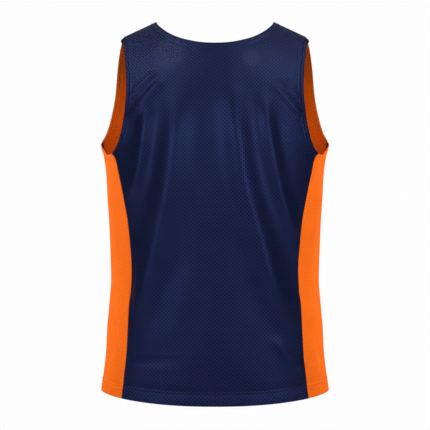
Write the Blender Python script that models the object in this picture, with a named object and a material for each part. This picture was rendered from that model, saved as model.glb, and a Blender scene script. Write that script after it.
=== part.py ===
"""Reversible sleeveless training pinnie, filled out as it is worn, with no wearer inside.

Two layers of knitted mesh are cut as back, front and two side pieces each.  The navy
body has orange sides on the outside, and the inside has the same colours changed over.
Units are metres, +Z is up, +X is the wearer's right and +Y the wearer's front.  The
origin lies midway between the two points where the shoulders meet the neck.
"""
import math

import bmesh
import bpy
import numpy as np

# ---------------------------------------------------------------- cloth and seams
WALL = 0.0010           # one layer of knitted mesh, with its loft
LAYER_GAP = 0.0003      # between the outer and the inner layer
SEAM_GAP = 0.0003       # between two pieces that are sewn to each other

# ---------------------------------------------------------------- shoulders and neck
NECK_HALF_WIDTH = 0.113     # centre line to the neck end of the shoulder
TIP_HALF_WIDTH = 0.1795     # centre line to the outer end of the shoulder
SHOULDER_SLOPE = 0.49       # fall for each metre outwards
SHOULDER_BEND = 0.050       # how softly the slope turns level across the neck
TIP_ROUNDING = 0.004        # extra fall at the very end of the shoulder
TIP_ROUNDING_WIDTH = 0.012
RIDGE_RADIUS = 0.009        # roundness of the cloth right over the ridge
RIDGE_REACH = 0.020         # the ridge rounding dies away over this fall
SEAM_FALL = 0.0035          # the shoulder seam lies this far down the front of the ridge
NECK_BAND = 0.008           # the last row of the back below its neck edge

# ---------------------------------------------------------------- the tube
OVAL_POWER = 2.2            # 2 is an ellipse, more is squarer
WIDEST_REACH = 0.9995       # no panel reaches further than this share of the half width
SIDE_HEM_HEIGHT = -0.703
HEM_DIP = 0.014             # the hem hangs lower at the middle of front and back

# One row for each level section of the body, from the shoulders down.
HEIGHT, HALF_WIDTH, BACK_DEPTH, FRONT_DEPTH = range(4)
SECTIONS = (
    (0.040, 0.2185, 0.1040, 0.0900),    # level with the neck
    (-0.050, 0.2185, 0.1120, 0.1010),   # shoulder ends
    (-0.120, 0.2187, 0.1205, 0.1120),   # upper chest
    (-0.180, 0.2188, 0.1250, 0.1205),   # shoulder blades
    (-0.232, 0.2175, 0.1262, 0.1245),   # foot of the armholes
    (-0.256, 0.2122, 0.1258, 0.1248),   # just under the armholes
    (-0.285, 0.2072, 0.1247, 0.1240),   # ribs
    (-0.335, 0.2020, 0.1218, 0.1208),
    (-0.385, 0.1980, 0.1185, 0.1170),
    (-0.460, 0.1962, 0.1150, 0.1130),   # waist
    (-0.520, 0.1978, 0.1148, 0.1130),
    (-0.586, 0.2033, 0.1165, 0.1170),
    (-0.650, 0.2098, 0.1185, 0.1210),   # hips
    (-0.705, 0.2170, 0.1205, 0.1250),   # hem
    (-0.730, 0.2202, 0.1212, 0.1260),
)

# Free edge of the back from the shoulder down the armhole, then its side seam.
BACK_EDGE = (
    (-0.039, 0.1795),       # end of the shoulder seam
    (-0.048, 0.1735),
    (-0.065, 0.1712),
    (-0.100, 0.1665),
    (-0.136, 0.1642),
    (-0.181, 0.1675),
    (-0.226, 0.1763),
    (-0.247, 0.1860),
    (-0.254, 0.1920),       # corner at the foot of the armhole
    (-0.261, 0.1862),
    (-0.293, 0.1785),
    (-0.337, 0.1692),
    (-0.382, 0.1612),
    (-0.427, 0.1565),
    (-0.471, 0.1537),
    (-0.505, 0.1550),
    (-0.539, 0.1592),
    (-0.583, 0.1612),
    (-0.628, 0.1637),
    (-0.673, 0.1685),
    (-0.730, 0.1742),
)

# The same for the front, which reaches further round at the armhole.
FRONT_EDGE = (
    (-0.039, 0.1795),       # end of the shoulder seam
    (-0.048, 0.1828),
    (-0.090, 0.1895),
    (-0.136, 0.1945),
    (-0.184, 0.2038),
    (-0.208, 0.2102),
    (-0.220, 0.2145),
    (-0.228, 0.2168),       # corner at the foot of the armhole
    (-0.256, 0.2106),
    (-0.302, 0.2000),
    (-0.371, 0.1880),
    (-0.463, 0.1765),
    (-0.555, 0.1740),
    (-0.647, 0.1770),
    (-0.730, 0.1835),
)

# Upper edge of a side piece: the share of the way from the back seam to the front seam,
# and the height of the edge there.
EDGE_HEIGHT = 1
SIDE_TOP_EDGE = (
    (0.00, -0.2540),
    (0.20, -0.2558),
    (0.36, -0.2490),
    (0.52, -0.2405),
    (0.77, -0.2330),
    (1.00, -0.2280),
)

# Soft folds: four places (x, z) that the fold runs through, half its width, and its
# rise, which is below zero for a trough.
PLACES, SPREAD, RISE = slice(0, 4), 4, 5
BACK_FOLDS = (
    ((-0.0640, -0.115), (-0.0810, -0.290), (-0.1080, -0.414), (-0.1560, -0.605), 0.025, 0.0185),
    ((-0.1230, -0.150), (-0.1300, -0.215), (-0.1440, -0.295), (-0.1680, -0.355), 0.013, 0.0110),
    ((-0.1000, -0.118), (-0.1150, -0.141), (-0.1350, -0.165), (-0.1600, -0.196), 0.009, 0.0080),
    ((-0.0950, -0.628), (-0.1200, -0.638), (-0.1440, -0.646), (-0.1680, -0.656), 0.011, -0.0030),
    ((0.0260, -0.095), (0.0470, -0.281), (0.0830, -0.414), (0.1420, -0.605), 0.023, 0.0170),
    ((0.0880, -0.130), (0.0970, -0.215), (0.1220, -0.330), (0.1620, -0.440), 0.014, 0.0115),
    ((0.1100, -0.130), (0.1230, -0.147), (0.1420, -0.166), (0.1610, -0.190), 0.008, 0.0065),
    ((0.1100, -0.590), (0.1250, -0.614), (0.1430, -0.638), (0.1640, -0.662), 0.011, 0.0035),
)
FRONT_FOLDS = (
    ((0.0580, -0.165), (0.0680, -0.280), (0.0920, -0.410), (0.1500, -0.580), 0.021, 0.0120),
    ((0.1120, -0.160), (0.1200, -0.240), (0.1340, -0.330), (0.1600, -0.430), 0.014, 0.0095),
    ((0.1180, -0.140), (0.1360, -0.160), (0.1550, -0.183), (0.1780, -0.212), 0.009, 0.0060),
    ((0.0200, -0.430), (0.0260, -0.480), (0.0330, -0.540), (0.0440, -0.620), 0.018, 0.0030),
    ((-0.0360, -0.180), (-0.0470, -0.310), (-0.0800, -0.450), (-0.1520, -0.600), 0.022, 0.0125),
    ((-0.0950, -0.155), (-0.1050, -0.240), (-0.1240, -0.340), (-0.1600, -0.450), 0.015, 0.0100),
    ((-0.1280, -0.135), (-0.1440, -0.160), (-0.1600, -0.190), (-0.1820, -0.225), 0.010, 0.0055),
    ((-0.1000, -0.600), (-0.1240, -0.611), (-0.1460, -0.622), (-0.1700, -0.634), 0.012, -0.0045),
)
FOLD_TAPER = 0.25           # share of a fold's length over which each end dies away
SEAM_CALM = 0.016           # no fold within this distance of an edge

# How a piece rounds over the shoulder: height of the rounding and its fullness.
ROUNDING_HEIGHT = {"back": 0.200, "front": 0.260}
ROUNDING_POWER = 0.70

# Neck edge: how far it hangs below the shoulders and how round it is.
NECK_DROP = {"back": 0.051, "front": 0.122}
NECK_ROUNDNESS = {"back": 0.82, "front": 0.62}

# ---------------------------------------------------------------- fineness of the walls
NECK_CELLS = 8              # from the centre line to the neck end of the shoulder
SHOULDER_CELLS = 4          # along one shoulder
LOWER_CELLS = 14            # from the foot of the armhole to the hem
UPPER_CELLS = 12            # from the foot of the armhole to the shoulder ridge
SIDE_CELLS = 6              # round a side piece
CORNER_CELL = 0.016         # share of the side seam taken by its short first row
NECK_CROWDING = 0.4         # how much the columns crowd towards the end of the neck edge
SMOOTH_ANGLE = 50.0         # degrees; flatter corners of a wall are shaded smooth
TINY = 1e-4                 # step used to find the slope of a surface

EDGES = {"back": BACK_EDGE, "front": FRONT_EDGE}
FOLDS = {"back": BACK_FOLDS, "front": FRONT_FOLDS}
DEPTHS = {"back": BACK_DEPTH, "front": FRONT_DEPTH}
FACING = {"back": -1.0, "front": 1.0}
CORNER_HEIGHT = {"back": SIDE_TOP_EDGE[0][EDGE_HEIGHT], "front": SIDE_TOP_EDGE[-1][EDGE_HEIGHT]}

NAVY = (0.0112, 0.0179, 0.0650, 1.0)
ORANGE = (0.9400, 0.1650, 0.0140, 1.0)
CLOTH_ROUGHNESS = 0.85


def clear_scene():
    """Remove every object of the scene."""
    for thing in list(bpy.data.objects):
        bpy.data.objects.remove(thing, do_unlink=True)


def cloth_material(name, colour):
    """A matt cloth of one colour."""
    material = bpy.data.materials.new(name)
    material.use_nodes = True
    shader = material.node_tree.nodes["Principled BSDF"]
    shader.inputs["Base Color"].default_value = colour
    shader.inputs["Roughness"].default_value = CLOTH_ROUGHNESS
    shader.inputs["Metallic"].default_value = 0.0
    material.diffuse_color = colour
    return material


def smooth_column(rows, column, at):
    """Read one column of a table at any place, on a smooth curve without overshoot.

    The first column holds the places, rising or falling.
    """
    table = np.array(rows, dtype=float)
    table = table[np.argsort(table[:, 0])]
    knots, values = table[:, 0], table[:, column]
    steps = np.diff(knots)
    rises = np.diff(values) / steps
    slopes = np.concatenate(([rises[0]], np.zeros(len(rises) - 1), [rises[-1]]))
    same_way = rises[:-1] * rises[1:] > 0.0
    both = np.where(same_way, rises[:-1] + rises[1:], 1.0)
    slopes[1:-1] = np.where(same_way, 2.0 * rises[:-1] * rises[1:] / both, 0.0)
    at = np.asarray(at, dtype=float)
    cell = np.clip(np.searchsorted(knots, at) - 1, 0, len(steps) - 1)
    t = np.clip((at - knots[cell]) / steps[cell], 0.0, 1.0)
    start_weight = (1.0 + 2.0 * t) * (1.0 - t) ** 2
    end_weight = t ** 2 * (3.0 - 2.0 * t)
    bend = t * (1.0 - t) ** 2 * slopes[cell] - t ** 2 * (1.0 - t) * slopes[cell + 1]
    return start_weight * values[cell] + end_weight * values[cell + 1] + bend * steps[cell]


def shoulder_ridge(x):
    """Height of the line along the top of the shoulders, level across the neck."""
    reach = math.hypot(NECK_HALF_WIDTH, SHOULDER_BEND)
    line = SHOULDER_SLOPE * (reach - np.hypot(x, SHOULDER_BEND))
    past = np.clip(np.abs(x) - (TIP_HALF_WIDTH - TIP_ROUNDING_WIDTH), 0.0, TIP_ROUNDING_WIDTH)
    return line - TIP_ROUNDING * (past / TIP_ROUNDING_WIDTH) ** 2


def hem_height(angle):
    """Height of the hem, lowest at the middle of the back and of the front."""
    return SIDE_HEM_HEIGHT - HEM_DIP * np.cos(angle) ** 2


def oval_share(x, half_width):
    """Depth of the oval at x, as a share of its full depth."""
    reach = np.clip(np.abs(x) / half_width, 0.0, 1.0)
    return (1.0 - reach ** OVAL_POWER) ** (1.0 / OVAL_POWER)


def edge_angle(panel, z):
    """Angle round the oval, from the middle of the panel, at which its edge lies."""
    reach = smooth_column(EDGES[panel], HALF_WIDTH, z) / smooth_column(SECTIONS, HALF_WIDTH, z)
    return np.arcsin(np.clip(reach, 0.0, WIDEST_REACH) ** (OVAL_POWER / 2.0))


def fold_height(panel, x, z):
    """Height of the soft folds over the plain form of a panel.

    Each fold follows a smooth curve through its four places, with a bell-shaped section.
    """
    total = np.zeros_like(x)
    for fold in FOLDS[panel]:
        line = [(place_z, place_x) for place_x, place_z in fold[PLACES]]
        top, foot = line[0][0], line[-1][0]
        along = np.clip((top - z) / (top - foot), 0.0, 1.0)
        run = smooth_column(line, 1, z + TINY) - smooth_column(line, 1, z - TINY)
        away = (x - smooth_column(line, 1, z)) / np.hypot(1.0, run / (2.0 * TINY))
        ends = np.clip(np.minimum(along, 1.0 - along) / FOLD_TAPER, 0.0, 1.0)
        total += fold[RISE] * np.exp(-(away / fold[SPREAD]) ** 2) * ends ** 2 * (3.0 - 2.0 * ends)
    return total


def rounded_depth(panel, x, z):
    """Depth of a panel at (x, z), which dies away over the shoulder ridge."""
    half_width = smooth_column(SECTIONS, HALF_WIDTH, z)
    full = smooth_column(SECTIONS, DEPTHS[panel], z) * oval_share(x, half_width)
    fall = np.clip(shoulder_ridge(x) - z, 0.0, None)
    below = np.clip(fall / ROUNDING_HEIGHT[panel], 0.0, 1.0)
    body = full * (1.0 - (1.0 - below) ** 2) ** ROUNDING_POWER
    return np.sqrt(body ** 2 + 2.0 * RIDGE_RADIUS * fall * np.exp(-(fall / RIDGE_REACH) ** 2))


def fall_past_seam(x):
    """How far below the ridge the front begins, one seam gap past the shoulder seam."""
    seam = shoulder_ridge(x) - SEAM_FALL
    run = rounded_depth("front", x, seam - TINY) - rounded_depth("front", x, seam)
    return SEAM_FALL + SEAM_GAP / np.hypot(1.0, run / TINY)


def shoulder_angle(x):
    """Angle round the oval at shoulder level at which x is reached."""
    return math.asin((x / SECTIONS[0][HALF_WIDTH]) ** (OVAL_POWER / 2.0))


# Share of the way across a panel at which the neck meets the shoulder.
NECK_SHARE = shoulder_angle(NECK_HALF_WIDTH) / shoulder_angle(TIP_HALF_WIDTH)


def across(panel, u, z):
    """Place x at the share u of the panel's half width, -1 to 1, at height z."""
    half_width = smooth_column(SECTIONS, HALF_WIDTH, z)
    angle = u * edge_angle(panel, z)
    return half_width * np.sign(angle) * np.abs(np.sin(angle)) ** (2.0 / OVAL_POWER)


def under_neck(u):
    """Whether a column of a panel ends at the neck edge and not at the shoulder."""
    return np.abs(u) < NECK_SHARE - 2.0 * TINY


def top_edge(panel, u):
    """Height of a panel's upper boundary: the shoulder, and the neck between them."""
    x = across(panel, u, np.zeros_like(u))
    inside = np.clip(1.0 - (u / NECK_SHARE) ** 2, 0.0, 1.0)
    neck = -NECK_DROP[panel] * inside ** NECK_ROUNDNESS[panel]
    return np.where(under_neck(u), neck, shoulder_ridge(x))


def calm_near_edges(panel, u, z):
    """1 over most of a panel, falling to 0 at its side edges, its hem and its top."""
    half_width = smooth_column(EDGES[panel], HALF_WIDTH, z)
    inwards = (1.0 - np.abs(u)) * half_width
    below = top_edge(panel, u) - z
    above = z - hem_height(u * edge_angle(panel, z))
    nearest = np.clip(np.minimum(inwards, np.minimum(below, above)) / SEAM_CALM, 0.0, 1.0)
    return nearest ** 2 * (3.0 - 2.0 * nearest)


def panel_point(panel, u, v):
    """Middle surface of the back or the front.

    u runs from -1 at the left edge to 1 at the right edge.  v is -1 at the hem, 0 at
    the foot of the armhole, 1 at the ridge of the shoulder and, on the back alone,
    2 at the shoulder seam, which lies a little way down the front.
    """
    corner = CORNER_HEIGHT[panel]
    top = top_edge(panel, u)
    on_neck = under_neck(u)
    if panel == "back":
        ridge_row = np.where(on_neck, top - NECK_BAND, top)
    else:
        seam_row = top - fall_past_seam(across(panel, u, top))
        ridge_row = np.where(on_neck, top, seam_row)

    hem = hem_height(u * edge_angle(panel, SIDE_HEM_HEIGHT))
    lower = corner + (hem - corner) * np.clip(-v, 0.0, 1.0)
    rise = 1.0 - (1.0 - np.clip(v, 0.0, 1.0)) ** 2
    upper = corner + (ridge_row - corner) * rise
    z = np.where(v < 0.0, lower, upper)
    over = np.clip(v - 1.0, 0.0, 1.0)
    z = np.where((over > 0.0) & on_neck, ridge_row + (top - ridge_row) * over, z)
    x = across(panel, u, z)
    depth = rounded_depth(panel, x, z)
    depth = depth + fold_height(panel, x, z) * calm_near_edges(panel, u, z)
    y = FACING[panel] * depth

    past_ridge = (over > 0.0) & ~on_neck
    z = np.where(past_ridge, top - SEAM_FALL * over ** 2, z)
    y = np.where(past_ridge, rounded_depth("front", x, z), y)
    return np.stack((x, y, z), axis=-1)


def seam_height(panel, v):
    """Height on the side seam of a panel, from its hem at -1 to its corner at 0."""
    corner = CORNER_HEIGHT[panel]
    foot = hem_height(edge_angle(panel, SIDE_HEM_HEIGHT))
    return corner + (foot - corner) * -v


def side_point(f, v):
    """Middle surface of the right-hand side piece.

    f runs from 0 at the back seam to 1 at the front seam, v from -1 at the hem to 0
    at the armhole.
    """
    back_foot = edge_angle("back", SIDE_HEM_HEIGHT)
    front_foot = math.pi - edge_angle("front", SIDE_HEM_HEIGHT)
    hem = hem_height(back_foot + (front_foot - back_foot) * f)
    top = smooth_column(SIDE_TOP_EDGE, EDGE_HEIGHT, f)
    z = top + (hem - top) * -v
    back_seam = edge_angle("back", seam_height("back", v))
    front_seam = math.pi - edge_angle("front", seam_height("front", v))
    angle = back_seam + (front_seam - back_seam) * f
    half_width = smooth_column(SECTIONS, HALF_WIDTH, z)
    x = half_width * np.abs(np.sin(angle)) ** (2.0 / OVAL_POWER)
    behind, ahead = -rounded_depth("back", x, z), rounded_depth("front", x, z)
    y = np.where(np.cos(angle) > 0.0, behind, ahead)
    return np.stack((x, y, z), axis=-1)


def surface_slopes(surface, first, second, first_limits, second_limits):
    """Directions of a surface along its two parameters, by small steps each way."""
    first_up = np.clip(first + TINY, *first_limits)
    first_down = np.clip(first - TINY, *first_limits)
    second_up = np.clip(second + TINY, *second_limits)
    second_down = np.clip(second - TINY, *second_limits)
    along_first = surface(first_up, second) - surface(first_down, second)
    along_second = surface(first, second_up) - surface(first, second_down)
    return along_first, along_second


def unit(vectors):
    """Vectors scaled to a length of one."""
    return vectors / np.linalg.norm(vectors, axis=-1, keepdims=True)


def wall_mesh(name, outer, inner):
    """Closed wall between two grids of points, with a rim round all four edges."""
    rows, columns = outer.shape[:2]
    flat = np.concatenate((outer.reshape(-1, 3), inner.reshape(-1, 3)))
    shell = bmesh.new()
    corners = [shell.verts.new(point) for point in flat]
    skip = rows * columns

    def outer_at(row, column):
        return corners[row * columns + column]

    def inner_at(row, column):
        return corners[skip + row * columns + column]

    for row in range(rows - 1):
        for column in range(columns - 1):
            here, right = (row, column), (row, column + 1)
            above, across_cell = (row + 1, column), (row + 1, column + 1)
            shell.faces.new([outer_at(*here), outer_at(*right), outer_at(*across_cell)])
            shell.faces.new([outer_at(*here), outer_at(*across_cell), outer_at(*above)])
            shell.faces.new([inner_at(*here), inner_at(*across_cell), inner_at(*right)])
            shell.faces.new([inner_at(*here), inner_at(*above), inner_at(*across_cell)])

    rim = [(0, column) for column in range(columns)]
    rim += [(row, columns - 1) for row in range(1, rows)]
    rim += [(rows - 1, column) for column in range(columns - 2, -1, -1)]
    rim += [(row, 0) for row in range(rows - 2, 0, -1)]
    for start, end in zip(rim, rim[1:] + rim[:1]):
        shell.faces.new([outer_at(*end), outer_at(*start), inner_at(*start)])
        shell.faces.new([outer_at(*end), inner_at(*start), inner_at(*end)])

    bmesh.ops.recalc_face_normals(shell, faces=shell.faces)
    mesh = bpy.data.meshes.new(name)
    shell.to_mesh(mesh)
    shell.free()
    mesh.shade_smooth()
    mesh.set_sharp_from_angle(angle=math.radians(SMOOTH_ANGLE))
    return mesh


def add_layers(name_parts, points, normals, outer_cloth, inner_cloth):
    """Add the outer and the inner cloth of one place as two walls."""
    half_gap = LAYER_GAP / 2.0
    layers = (
        ("outer", half_gap + WALL, half_gap, outer_cloth),
        ("inner", -half_gap, -half_gap - WALL, inner_cloth),
    )
    stem, ending = name_parts
    for layer, raised, lowered, material in layers:
        name = f"{stem}_{layer}{ending}"
        mesh = wall_mesh(name, points + normals * raised, points + normals * lowered)
        mesh.materials.append(material)
        bpy.context.scene.collection.objects.link(bpy.data.objects.new(name, mesh))


def column_shares():
    """Shares across a panel, closer together where the neck edge is steep."""
    steps = np.linspace(0.0, 1.0, NECK_CELLS + 1)
    crowded = np.sin(steps * math.pi / 2.0)
    to_neck = NECK_SHARE * (steps + NECK_CROWDING * (crowded - steps))
    to_tip = np.linspace(NECK_SHARE, 1.0, SHOULDER_CELLS + 1)[1:]
    half = np.concatenate((to_neck, to_tip))
    return np.concatenate((-half[:0:-1], half))


def lower_rows():
    """Row places from the hem, -1, to the foot of the armhole, 0."""
    return np.concatenate((np.linspace(-1.0, -CORNER_CELL, LOWER_CELLS), [0.0]))


def seam_trim(slope):
    """Share by which a piece stops short of its seam line, for half the seam gap."""
    speed = np.linalg.norm(slope, axis=-1) / (2.0 * TINY)
    return SEAM_GAP / 2.0 / speed


def build_panel(panel, outer_cloth, inner_cloth):
    """Back or front, in both layers."""
    upper = np.linspace(0.0, 1.0, UPPER_CELLS + 1)[1:]
    rows = np.concatenate((lower_rows(), upper, [2.0] if panel == "back" else []))
    u, v = np.meshgrid(column_shares(), rows)
    limits = ((-1.0 - 2.0 * TINY, 1.0 + 2.0 * TINY), (-1.0, rows[-1]))

    def surface(first, second):
        return panel_point(panel, first, second)

    slope, _ = surface_slopes(surface, u, v, *limits)
    sewn = (np.abs(u) > 1.0 - TINY) & (v <= 0.0)
    u = np.where(sewn, u - np.sign(u) * seam_trim(slope), u)
    along_u, along_v = surface_slopes(surface, u, v, *limits)
    normals = unit(np.cross(along_u, along_v)) * (1.0 if panel == "back" else -1.0)
    add_layers((panel, ""), surface(u, v), normals, outer_cloth, inner_cloth)


def build_sides(outer_cloth, inner_cloth):
    """Right side piece in both layers, and its mirror image on the left."""
    f, v = np.meshgrid(np.linspace(0.0, 1.0, SIDE_CELLS + 1), lower_rows())
    limits = ((-2.0 * TINY, 1.0 + 2.0 * TINY), (-1.0, 0.0))
    slope, _ = surface_slopes(side_point, f, v, *limits)
    trim = seam_trim(slope)
    f = np.where(f < TINY, trim, np.where(f > 1.0 - TINY, 1.0 - trim, f))
    along_f, along_v = surface_slopes(side_point, f, v, *limits)
    points = side_point(f, v)
    normals = unit(np.cross(along_f, along_v))
    for ending, mirror in (("_right", 1.0), ("_left", -1.0)):
        turn = np.array((mirror, 1.0, 1.0))
        add_layers(("side", ending), points * turn, normals * turn, outer_cloth, inner_cloth)


def build():
    """All eight cut pieces of the pinnie."""
    clear_scene()
    navy = cloth_material("navy_mesh_knit", NAVY)
    orange = cloth_material("orange_mesh_knit", ORANGE)
    build_panel("back", navy, orange)
    build_panel("front", navy, orange)
    build_sides(orange, navy)


build()
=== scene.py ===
"""Looks of a reversible sleeveless training pinnie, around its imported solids.

Two layers of open mesh knit are cut as back, front and two side pieces each.  Navy cloth
with orange sides is outside, and the inside has the colours changed over.  Units are
metres, +Z is up, +X is the wearer's right and +Y the wearer's front.
"""
import logging
import math
from dataclasses import dataclass, field, replace
from enum import Enum
from typing import Callable, NamedTuple, Sequence

import bpy
import numpy as np
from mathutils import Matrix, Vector


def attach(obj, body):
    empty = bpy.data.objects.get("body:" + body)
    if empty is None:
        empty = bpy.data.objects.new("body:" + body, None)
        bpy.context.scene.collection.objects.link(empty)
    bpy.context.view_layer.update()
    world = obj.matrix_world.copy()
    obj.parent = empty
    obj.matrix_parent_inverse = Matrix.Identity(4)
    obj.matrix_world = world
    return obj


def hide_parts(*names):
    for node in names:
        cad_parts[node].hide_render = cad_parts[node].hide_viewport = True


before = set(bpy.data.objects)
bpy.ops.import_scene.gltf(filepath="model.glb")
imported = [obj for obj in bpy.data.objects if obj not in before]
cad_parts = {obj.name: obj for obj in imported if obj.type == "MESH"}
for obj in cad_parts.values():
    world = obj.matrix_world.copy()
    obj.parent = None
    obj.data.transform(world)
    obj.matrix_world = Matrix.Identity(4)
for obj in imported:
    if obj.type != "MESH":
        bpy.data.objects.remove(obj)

LOG = logging.getLogger("pinnie")
Array = np.ndarray
Colour = tuple[float, float, float, float]
WHITE: Colour = (1.0, 1.0, 1.0, 1.0)
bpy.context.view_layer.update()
HEM_LINE = 0.0200       # height of the hem's stitching over the edge
FINE_BELOW = 0.004      # the rows of a grid lie closer together from this far below it
FINE_ABOVE = 0.008      # to this far above it
ROW_GROWTH = 0.10       # how fast the rows spread out from an edge
RUN_SAMPLES = 4001      # samples of a run that is divided into cells
COLUMN_SAMPLES = 2001   # samples of a column whose length is measured
POINTS_AT_ONCE = 4000   # points whose distances are worked out together
STEP = 1e-4             # step used to find the slope of a surface
ON_EDGE = 1e-6          # a point this close to an edge lies on it
SLACK = 1e-9            # room for rounding where two numbers are compared
SMALLEST = 1e-14        # keeps a division away from zero


# ---------------------------------------------------------------------------- sizes
class Side(Enum):
    """The two large panels, with the way that each one faces."""

    BACK = -1.0
    FRONT = 1.0

    def edge(self) -> tuple["EdgePoint", ...]:
        """Table of the panel's side edge."""
        return BACK_EDGE if self is Side.BACK else FRONT_EDGE

    def corner_height(self) -> float:
        """Height of the panel's corner at the foot of the armhole."""
        return SIDE_TOP_EDGE[0 if self is Side.BACK else -1].height


class Layer(Enum):
    """The two layers of cloth, with the side of the middle surface each lies on."""

    OUTER = 1.0
    INNER = -1.0


class Section(NamedTuple):
    """One level section of the body."""

    height: float
    half_width: float
    back_depth: float
    front_depth: float


class EdgePoint(NamedTuple):
    """One place on the side edge of a panel."""

    height: float
    half_width: float


class TopPoint(NamedTuple):
    """One place on the upper edge of a side piece."""

    share: float            # of the way from the back seam to the front seam
    height: float


class Fold(NamedTuple):
    """A soft fold through four places from its top down, with its spread and its rise.

    A place is x and the height, or on a side piece the share of the width from the back
    seam and the height.  The rise is below zero for a trough.
    """

    top: tuple[float, float]
    upper: tuple[float, float]
    lower: tuple[float, float]
    foot: tuple[float, float]
    spread: float
    rise: float

    def line(self) -> "SmoothCurve":
        """Middle line of the fold: its place across at each height."""
        across, heights = zip(self.top, self.upper, self.lower, self.foot)
        return SmoothCurve(heights, across)

    def height(self, away: Array, z: Array, taper: float) -> Array:
        """Height of the fold: a bell-shaped section, and ends that die away.

        Args:
            away: distance across the cloth from the fold's middle line.
            z: height of each place.
            taper: share of the fold over which each end dies away.

        Returns:
            The height over the plain form.
        """
        along = np.clip((self.top[1] - z) / (self.top[1] - self.foot[1]), 0.0, 1.0)
        ends = soft_step(np.minimum(along, 1.0 - along), 0.0, taper)
        return self.rise * bell(away, 0.0, self.spread) * ends


BODY_SECTIONS = (
    Section(0.040, 0.2185, 0.1040, 0.0900),     # level with the neck
    Section(-0.050, 0.2185, 0.1120, 0.1010),    # shoulder ends
    Section(-0.120, 0.2187, 0.1205, 0.1120),
    Section(-0.180, 0.2188, 0.1250, 0.1205),    # shoulder blades
    Section(-0.232, 0.2175, 0.1262, 0.1245),    # foot of the armholes
    Section(-0.256, 0.2122, 0.1258, 0.1248),
    Section(-0.285, 0.2072, 0.1247, 0.1240),
    Section(-0.335, 0.2020, 0.1218, 0.1208),
    Section(-0.385, 0.1980, 0.1185, 0.1170),
    Section(-0.460, 0.1962, 0.1150, 0.1130),    # waist
    Section(-0.520, 0.1978, 0.1148, 0.1130),
    Section(-0.586, 0.2033, 0.1165, 0.1170),
    Section(-0.650, 0.2098, 0.1185, 0.1210),
    Section(-0.705, 0.2170, 0.1205, 0.1250),    # hem
    Section(-0.730, 0.2202, 0.1212, 0.1260),
)

BACK_EDGE = (
    EdgePoint(-0.039, 0.1795),      # end of the shoulder seam
    EdgePoint(-0.048, 0.1735),
    EdgePoint(-0.065, 0.1712),
    EdgePoint(-0.100, 0.1665),
    EdgePoint(-0.136, 0.1642),
    EdgePoint(-0.181, 0.1675),
    EdgePoint(-0.226, 0.1763),
    EdgePoint(-0.247, 0.1860),
    EdgePoint(-0.254, 0.1920),      # corner at the foot of the armhole
    EdgePoint(-0.261, 0.1862),
    EdgePoint(-0.293, 0.1785),
    EdgePoint(-0.337, 0.1692),
    EdgePoint(-0.382, 0.1612),
    EdgePoint(-0.427, 0.1565),
    EdgePoint(-0.471, 0.1537),
    EdgePoint(-0.505, 0.1550),
    EdgePoint(-0.539, 0.1592),
    EdgePoint(-0.583, 0.1612),
    EdgePoint(-0.628, 0.1637),
    EdgePoint(-0.673, 0.1685),
    EdgePoint(-0.730, 0.1742),
)

FRONT_EDGE = (
    EdgePoint(-0.039, 0.1795),      # end of the shoulder seam
    EdgePoint(-0.048, 0.1828),
    EdgePoint(-0.090, 0.1895),
    EdgePoint(-0.136, 0.1945),
    EdgePoint(-0.184, 0.2038),
    EdgePoint(-0.208, 0.2102),
    EdgePoint(-0.220, 0.2145),
    EdgePoint(-0.228, 0.2168),      # corner at the foot of the armhole
    EdgePoint(-0.256, 0.2106),
    EdgePoint(-0.302, 0.2000),
    EdgePoint(-0.371, 0.1880),
    EdgePoint(-0.463, 0.1765),
    EdgePoint(-0.555, 0.1740),
    EdgePoint(-0.647, 0.1770),
    EdgePoint(-0.730, 0.1835),
)

SIDE_TOP_EDGE = (
    TopPoint(0.00, -0.2540),
    TopPoint(0.20, -0.2558),
    TopPoint(0.36, -0.2490),
    TopPoint(0.52, -0.2405),
    TopPoint(0.77, -0.2330),
    TopPoint(1.00, -0.2280),
)

BACK_FOLDS = (
    # left half, from the middle outwards
    Fold((-0.0640, -0.115), (-0.0810, -0.290), (-0.1080, -0.414), (-0.1560, -0.605), 0.025, 0.0185),
    Fold((-0.1230, -0.150), (-0.1300, -0.215), (-0.1440, -0.295), (-0.1680, -0.355), 0.013, 0.0110),
    Fold((-0.1000, -0.118), (-0.1150, -0.141), (-0.1350, -0.165), (-0.1600, -0.196), 0.009, 0.0080),
    Fold((-0.1100, -0.100), (-0.1220, -0.116), (-0.1400, -0.134), (-0.1600, -0.153), 0.007, 0.0035),
    Fold((-0.0850, -0.500), (-0.0950, -0.535), (-0.1080, -0.575), (-0.1250, -0.625), 0.014, 0.0014),
    Fold((-0.0400, -0.440), (-0.0520, -0.495), (-0.0700, -0.550), (-0.0950, -0.620), 0.016, 0.0014),
    Fold((-0.0900, -0.626), (-0.1100, -0.635), (-0.1300, -0.642), (-0.1480, -0.648), 0.013, -0.0016),
    # right half
    Fold((0.0260, -0.095), (0.0470, -0.281), (0.0830, -0.414), (0.1420, -0.605), 0.023, 0.0170),
    Fold((0.0880, -0.130), (0.0970, -0.215), (0.1220, -0.330), (0.1620, -0.440), 0.014, 0.0115),
    Fold((0.1100, -0.130), (0.1230, -0.147), (0.1420, -0.166), (0.1610, -0.190), 0.008, 0.0065),
    Fold((0.1200, -0.112), (0.1320, -0.127), (0.1450, -0.140), (0.1600, -0.155), 0.006, 0.0035),
    Fold((0.1100, -0.590), (0.1250, -0.614), (0.1430, -0.638), (0.1640, -0.662), 0.011, 0.0035),
)

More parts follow.
